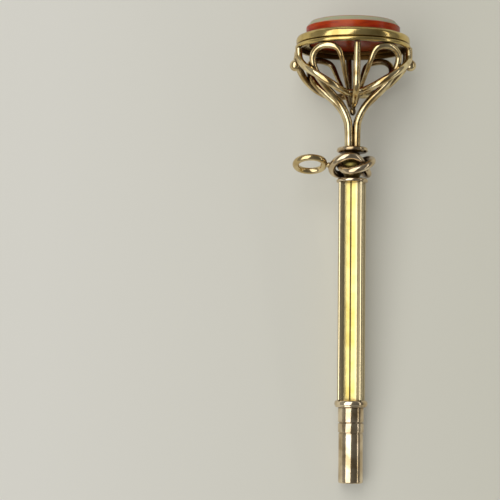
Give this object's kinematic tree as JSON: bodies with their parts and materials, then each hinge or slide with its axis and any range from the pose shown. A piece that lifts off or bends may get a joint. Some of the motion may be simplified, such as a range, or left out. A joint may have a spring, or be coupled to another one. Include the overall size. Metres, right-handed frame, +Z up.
{
  "type": "watch key",
  "caption": "Fob-seal watch key: oval blank stone seal on a wire basket, fluted stem, turning chain ring and square winding socket.",
  "frame": {"origin": "middle of the winding pipe's mouth", "axes": "the key lies down: +Y along its axis from the pipe to the seal, +Z up, +X to the right with the chain ring on the -X side"},
  "size_m": [0.0144, 0.0518, 0.011],
  "materials": {
    "bezel_gold": "polished, worn",
    "wire_gold": "polished, worn",
    "stem_gold": "polished, worn",
    "rose_gold": "polished, worn",
    "steel": "plain",
    "stone": "polished stone"
  },
  "bodies": {
    "key": {"seal_stone": "stone", "bezel_collet": "bezel_gold", "bezel_band": "bezel_gold", "bezel_rim": "bezel_gold", "stone_ledge": "bezel_gold", "loop_wire_front_left": "wire_gold", "loop_wire_front_right": "wire_gold", "loop_wire_back_left": "wire_gold", "loop_wire_back_right": "wire_gold", "swag_wire_front": "wire_gold", "swag_wire_back": "wire_gold", "bar_front": "wire_gold", "bar_back": "wire_gold", "side_bead_left": "wire_gold", "side_bead_right": "wire_gold", "apex_bead": "wire_gold", "neck_disc": "rose_gold", "stem_disc": "rose_gold", "swivel_post": "rose_gold", "fluted_stem": "stem_gold", "pipe_collar": "rose_gold", "key_pipe": "rose_gold", "key_liner": "steel"},
    "swivel": {"knot_sleeve": "rose_gold", "knot_wire": "rose_gold", "chain_ring": "wire_gold", "ring_solder": "wire_gold"}
  },
  "joints": [
    {"name": "knot_swivel", "type": "hinge", "parent": "key", "child": "swivel", "pos_m": [0, 0.03543, 0], "axis": [0, 1, 0], "continuous": true}
  ]
}
